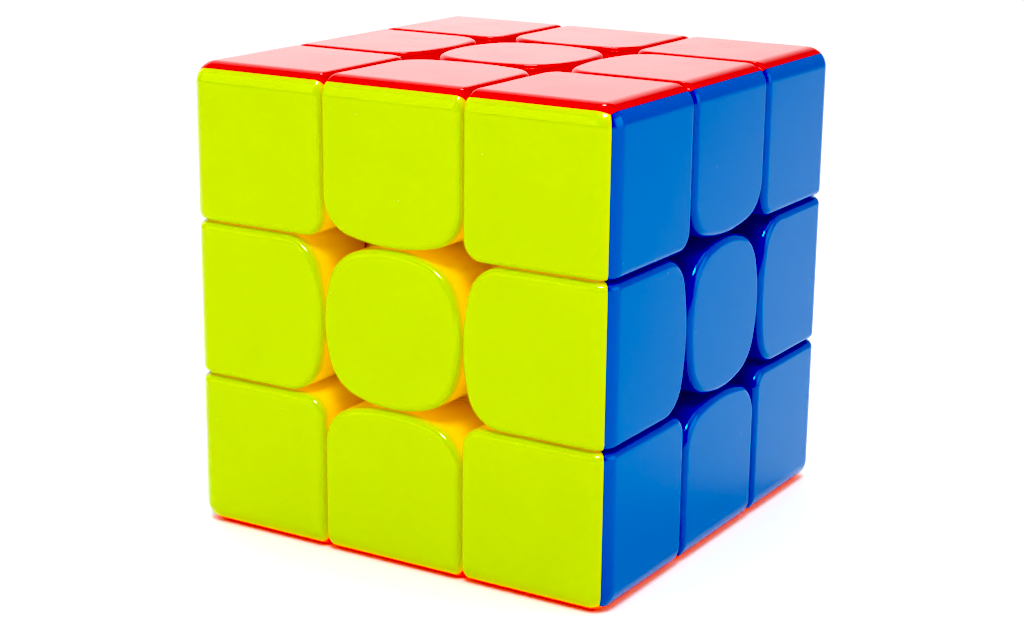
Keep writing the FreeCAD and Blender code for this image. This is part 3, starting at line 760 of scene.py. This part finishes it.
def moulded_abs(face, colour):
    """Polished ABS, coloured all the way in: mirror-like, with faint mould waviness, smudges and dust.

    Down in the gaps the colour turns to a painted one, lighter or darker than the tile, that stands for
    light that has come into the slightly translucent plastic or off the walls beside it, and for shade. A
    painted glow in that colour, faint on the tile and fading with depth in the gaps, stands for that light
    too.
    """
    tint = TINTS[colour]
    material, tree, shader, place = new_material(colour + "_abs")
    along = add(tree, "ShaderNodeVectorMath", (place, FACES[face][0]), operation="DOT_PRODUCT")
    height = along.outputs["Value"]
    # Painted light and shade: with depth below the tile, the colour turns from the tile's own to the painted
    # gap colour.
    sunk = add(tree, "ShaderNodeMapRange", (height, HALF - RIM_DEPTH, HALF - GAP_DEPTH, 0, 1)).outputs[0]
    painted_gap_ramp = add(tree, "ShaderNodeValToRGB", {"Fac": sunk})
    painted_gap_ramp.color_ramp.interpolation = "EASE"
    painted_gap_ramp.color_ramp.elements[0].color = linear(tint["tile"])
    painted_gap_ramp.color_ramp.elements[1].color = linear(tint["gap"])
    # Painted glow: light of the plastic's own, in the painted gap colour; faint on the tile, strongest where
    # the gap colour is full, and fading to nothing deeper down.
    limits = (height, HALF - GAP_DEPTH, HALF - PAINTED_GLOW_DEPTH, tint["through"], 0)
    painted_glow_fade = add(tree, "ShaderNodeMapRange", limits).outputs[0]
    painted_glow_rise = add(tree, "ShaderNodeMapRange", (sunk, 0, 1, TILE_PAINTED_GLOW, 1)).outputs[0]
    painted_glow_strength = add(tree, "ShaderNodeMath", (painted_glow_rise, painted_glow_fade), operation="MULTIPLY").outputs[0]
    tree.links.new(painted_glow_strength, shader.inputs["Emission Strength"])
    shader.inputs["Emission Color"].default_value = linear(tint["gap"])

    dust = add(tree, "ShaderNodeTexVoronoi", {"Vector": place, "Scale": 1 / DUST_SPACING})
    reach = DUST_RADIUS / DUST_SPACING
    speck = add(tree, "ShaderNodeMapRange", (dust.outputs["Distance"], reach / 2, reach, 1, 0)).outputs[0]
    cloud = add(tree, "ShaderNodeTexNoise", {"Vector": place, "Scale": 1 / MOTTLE_GRAIN}).outputs[0]
    mottle = add(tree, "ShaderNodeMapRange", (cloud, *NOISE_SPAN, *ABS_TONE)).outputs[0]
    lift = add(tree, "ShaderNodeMath", (speck, DUST_LIFT, mottle), operation="MULTIPLY_ADD").outputs[0]
    pale = add(tree, "ShaderNodeMapRange", (speck, 0, 1, 1, DUST_COLOUR)).outputs[0]
    surface = add(tree, "ShaderNodeHueSaturation", {
        "Color": painted_gap_ramp.outputs[0], "Value": lift, "Saturation": pale,
    })
    tree.links.new(surface.outputs[0], shader.inputs["Base Color"])

    smudge = add(tree, "ShaderNodeTexNoise", {"Vector": place, "Scale": 1 / SMUDGE_GRAIN, "Detail": 3.0})
    gloss = add(tree, "ShaderNodeMapRange", (smudge.outputs[0], *SMUDGE_SPAN, *GLOSS_RANGE))
    tree.links.new(gloss.outputs[0], shader.inputs["Roughness"])
    wave = add(tree, "ShaderNodeTexNoise", {"Vector": place, "Scale": 1 / WAVE_GRAIN, "Detail": 1.0})
    bump = add(tree, "ShaderNodeBump", {"Strength": 1.0, "Distance": WAVE_HEIGHT, "Height": wave.outputs[0]})
    tree.links.new(bump.outputs[0], shader.inputs["Normal"])

    shader.inputs["IOR"].default_value = ABS_IOR
    shader.inputs["Specular IOR Level"].default_value = tint["shine"]
    shader.inputs["Specular Tint"].default_value = linear(tint["glint"])
    shader.inputs["Subsurface Weight"].default_value = tint["glow"]
    shader.inputs["Subsurface Radius"].default_value = tint["depth"]
    shader.inputs["Subsurface Scale"].default_value = GLOW_SCALE
    return material


def worked_steel(name, code, roughness, grain):
    """Steel with the fine unevenness that its making leaves: plated, drawn or stamped."""
    material, tree, shader, place = new_material(name)
    grit = add(tree, "ShaderNodeTexNoise", {"Vector": place, "Scale": 1 / grain, "Detail": 4.0}).outputs[0]
    tone = add(tree, "ShaderNodeMapRange", (grit, *NOISE_SPAN, *STEEL_TONE)).outputs[0]
    surface = add(tree, "ShaderNodeHueSaturation", {"Color": linear(code), "Value": tone})
    tree.links.new(surface.outputs[0], shader.inputs["Base Color"])
    gloss = add(tree, "ShaderNodeMapRange", (grit, *NOISE_SPAN, 0.8 * roughness, 1.2 * roughness))
    tree.links.new(gloss.outputs[0], shader.inputs["Roughness"])
    bump = add(tree, "ShaderNodeBump", {"Strength": 0.5, "Distance": STEEL_GRIT_HEIGHT, "Height": grit})
    tree.links.new(bump.outputs[0], shader.inputs["Normal"])
    shader.inputs["Metallic"].default_value = 1.0
    return material


def filled_nylon():
    """Glass-filled nylon, moulded: a dull, slightly speckled off-white that wears well as a bearing."""
    material, tree, shader, place = new_material("filled_nylon")
    speckle = add(tree, "ShaderNodeTexNoise", {"Vector": place, "Scale": 1 / FIBRE_GRAIN, "Detail": 5.0})
    fibre = speckle.outputs[0]
    tone = add(tree, "ShaderNodeMapRange", (fibre, *NOISE_SPAN, *NYLON_TONE)).outputs[0]
    surface = add(tree, "ShaderNodeHueSaturation", {"Color": linear(NYLON_COLOUR), "Value": tone})
    tree.links.new(surface.outputs[0], shader.inputs["Base Color"])
    gloss = add(tree, "ShaderNodeMapRange", (fibre, *NOISE_SPAN, *NYLON_GLOSS))
    tree.links.new(gloss.outputs[0], shader.inputs["Roughness"])
    bump = add(tree, "ShaderNodeBump", {"Strength": 0.6, "Distance": FIBRE_HEIGHT, "Height": fibre})
    tree.links.new(bump.outputs[0], shader.inputs["Normal"])
    shader.inputs["IOR"].default_value = NYLON_IOR
    return material


# ---------------------------------------------------------------------------------------------
# The whole cube
# ---------------------------------------------------------------------------------------------

body_of = {node: body for body, nodes in frame["record"]["behaviour"]["bodies"].items() for node in nodes}
# The foot is moulded with the coloured part that comes first in this list.
FOOT_ORDER = ["yellow", "white", "red", "orange", "blue", "green"]


def normal(face):
    return FACES[face][0]


def colour_of(face):
    return FACES[face][1]


def stand_in(piece, node):
    """Let a finished piece replace a node of the frame, and move with its body."""
    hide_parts(node)
    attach(piece, body_of[node])


def turn_to(along_y, up):
    """The Euler turn that takes +Y to one direction and +Z to another."""
    return Matrix((along_y.cross(up), along_y, up)).transposed().to_euler()


def first_moulded(faces):
    return min(faces, key=lambda face: FOOT_ORDER.index(colour_of(face)))


# Plain and footed parts, by whether the part has the foot.
corner_parts = dict(zip((False, True), corner_thirds()))
edge_parts = dict(zip((False, True), edge_halves()))
centre_parts = centre_hub_and_cap()
plastics = {face: moulded_abs(face, colour_of(face)) for face in FACES}
placed_moulding = moulding_tree()


def add_moulding(node, face, turn, first, second=None):
    piece = grown(node + "_moulding", placed_moulding,
                  First=first, Second=second, Turn=turn, Finish=plastics[face])
    stand_in(piece, node)


for node in sorted(frame["nodes"]):
    kind, *faces = node.split("_")[:-1]
    if kind == "centre":
        add_moulding(node, faces[0], FACING[faces[0]], *centre_parts)
        continue
    if kind not in ("edge", "corner"):
        continue
    tile = next(face for face in faces if colour_of(face) == node.split("_")[-1])
    others = [face for face in faces if face != tile]
    footed = tile == first_moulded(faces)
    if kind == "edge":
        add_moulding(node, tile, turn_to(normal(others[0]), normal(tile)), edge_parts[footed])
    else:
        right_handed = normal(others[0]).cross(normal(others[1])).dot(normal(tile)) > 0
        along_y = normal(others[1] if right_handed else others[0])
        add_moulding(node, tile, turn_to(along_y, normal(tile)), corner_parts[footed])

blank = screw_blank()
washers = washer_tree()
zinc, drawn, stamped = [worked_steel(name, *look) for name, look in STEELS.items()]
stand_in(grown("screws_with_thread", screw_tree(), Blank=blank, Finish=zinc),
         "tension_screws")
stand_in(grown("springs_with_closed_ends", spring_tree(), Finish=drawn),
         "tension_springs")
stand_in(grown("washers_on_hubs", washers, Finish=stamped, Start=WEB_OUTSIDE),
         "seat_washers")
stand_in(grown("washers_under_heads", washers, Finish=stamped, Start=HEAD_SEAT - WASHER_THICKNESS),
         "head_washers")
frame["nodes"]["core_spider"].material_slots[0].material = filled_nylon()

for master in (*corner_parts.values(), *edge_parts.values(), *centre_parts, blank):
    bpy.data.objects.remove(master)

# ---------------------------------------------------------------------------------------------
# Studio: pale floor, white surround, soft lights and the camera
# ---------------------------------------------------------------------------------------------


def direction(azimuth, elevation):
    """The direction from the cube to a place round it. Azimuth 0 is in front, and 90 on the right."""
    turn, rise = math.radians(azimuth), math.radians(elevation)
    return Vector((math.sin(turn) * math.cos(rise), -math.cos(turn) * math.cos(rise), math.sin(rise)))


def pale_floor():
    shape = bmesh.new()
    bmesh.ops.create_grid(shape, x_segments=1, y_segments=1, size=FLOOR_REACH)
    bmesh.ops.translate(shape, verts=shape.verts[:], vec=(0, 0, -HALF))
    floor = solid("studio_floor", shape)
    material, tree, shader, place = new_material("white_paper_sweep")
    grain = add(tree, "ShaderNodeTexNoise", {"Vector": place, "Scale": 1 / PAPER_GRAIN}).outputs[0]
    tone = add(tree, "ShaderNodeMapRange", (grain, 0, 1, *PAPER_TONE)).outputs[0]
    surface = add(tree, "ShaderNodeHueSaturation", {"Color": linear(PAPER_COLOUR), "Value": tone})
    tree.links.new(surface.outputs[0], shader.inputs["Base Color"])
    shader.inputs["Roughness"].default_value = PAPER_ROUGHNESS
    shader.inputs["Specular IOR Level"].default_value = PAPER_SHINE
    floor.data.materials.append(material)


def white_surround():
    """A pale backdrop with a bright panel on its left, a dim room in front, and plain white to look at."""
    world = bpy.data.worlds.new("white_surround")
    bpy.context.scene.world = world
    world.use_nodes = True
    tree = world.node_tree
    tree.nodes.clear()
    heading = add(tree, "ShaderNodeTexCoord").outputs["Generated"]
    behind = add(tree, "ShaderNodeVectorMath", (heading, BACKDROP_WAY), operation="DOT_PRODUCT")
    limits = (behind.outputs["Value"], *BACKDROP_EDGE, ROOM_LEVEL, BACKDROP_LEVEL)
    level = add(tree, "ShaderNodeMapRange", limits, interpolation_type="SMOOTHSTEP")
    near = add(tree, "ShaderNodeVectorMath", (heading, PANEL_WAY), operation="DOT_PRODUCT")
    limits = (near.outputs["Value"], *PANEL_EDGE, 0, PANEL_EXTRA)
    panel = add(tree, "ShaderNodeMapRange", limits, interpolation_type="SMOOTHSTEP")
    both = add(tree, "ShaderNodeMath", (level.outputs[0], panel.outputs[0]), operation="ADD")
    light = add(tree, "ShaderNodeBackground", {"Strength": both.outputs[0]})
    paper = add(tree, "ShaderNodeBackground", {"Strength": PAPER_LEVEL})
    seen = add(tree, "ShaderNodeLightPath").outputs["Is Camera Ray"]
    mix = add(tree, "ShaderNodeMixShader", (seen, light.outputs[0], paper.outputs[0]))
    add(tree, "ShaderNodeOutputWorld", {"Surface": mix.outputs[0]})


def soft_light(name, azimuth, elevation, distance, width, height, watts):
    """A rectangular softbox that faces the cube."""
    lamp = bpy.data.lights.new(name, "AREA")
    lamp.shape = "RECTANGLE"
    lamp.size, lamp.size_y, lamp.energy = width, height, watts
    place = direction(azimuth, elevation)
    light = new_object(name, lamp)
    light.location = place * distance
    light.rotation_euler = place.to_track_quat("Z", "Y").to_euler()


def overhead_light():
    """A wide even light from above, the same all over the floor."""
    lamp = bpy.data.lights.new("overhead_diffuser", "SUN")
    lamp.energy, lamp.angle = OVERHEAD_LEVEL, OVERHEAD_WIDTH
    new_object("overhead_diffuser", lamp)


def main_camera():
    """The main view: from the front, 31 degrees to the right and 15 above, with a very small roll."""
    back = direction(CAMERA_AZIMUTH, CAMERA_ELEVATION)
    turn = math.radians(CAMERA_AZIMUTH)
    level = Vector((math.cos(turn), math.sin(turn), 0))
    upright = back.cross(level)
    roll = math.radians(CAMERA_ROLL)
    across = level * math.cos(roll) + upright * math.sin(roll)
    up = upright * math.cos(roll) - level * math.sin(roll)
    camera = new_object("main_camera", bpy.data.cameras.new("main_camera"))
    place = back * CAMERA_DISTANCE + level * CAMERA_ASIDE + upright * CAMERA_RISE
    camera.matrix_world = Matrix.Translation(place) @ Matrix((across, up, back)).transposed().to_4x4()
    camera.data.lens = CAMERA_LENS
    camera.data.sensor_width = CAMERA_SENSOR
    camera.data.clip_start = MM
    bpy.context.scene.camera = camera


def contrast_look():
    """Plain sRGB, with a black level that deepens the darks and a white level that clears the whites."""
    look = bpy.context.scene.view_settings
    look.view_transform = "Standard"
    look.use_curve_mapping = True
    look.curve_mapping.black_level = [BLACK_LEVEL] * 3
    look.curve_mapping.white_level = [WHITE_LEVEL] * 3
    look.curve_mapping.update()


pale_floor()
white_surround()
for name, settings in SOFTBOXES.items():
    soft_light(name, *settings)
overhead_light()
main_camera()
contrast_look()
